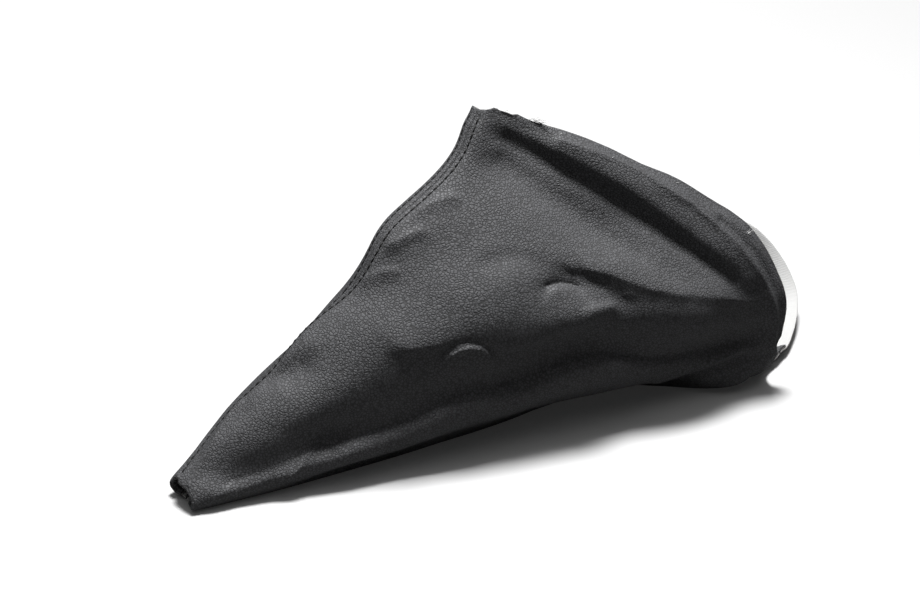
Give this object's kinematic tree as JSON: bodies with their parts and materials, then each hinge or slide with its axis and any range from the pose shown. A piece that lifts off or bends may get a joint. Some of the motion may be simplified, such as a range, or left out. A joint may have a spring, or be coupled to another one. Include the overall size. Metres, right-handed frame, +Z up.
{
  "type": "gear lever gaiter",
  "caption": "Soft tapered gear lever gaiter of black leathercloth with topstitched seams, lying on its side, open at the narrow lever end and at the wide mouth.",
  "frame": {"origin": "on the floor under the middle of the gaiter's outer box", "axes": "+X along the floor from the narrow end to the mouth, +Y away from the side that faces the viewer, +Z up"},
  "size_m": [0.334, 0.104, 0.1473],
  "materials": {
    "leathercloth": "grained semi-matt",
    "thread": "matt"
  },
  "bodies": {
    "root": {"near_panel": "leathercloth", "far_panel": "leathercloth", "top_near_stitching": "thread", "top_far_stitching": "thread", "under_near_stitching": "thread", "under_far_stitching": "thread"}
  },
  "joints": []
}
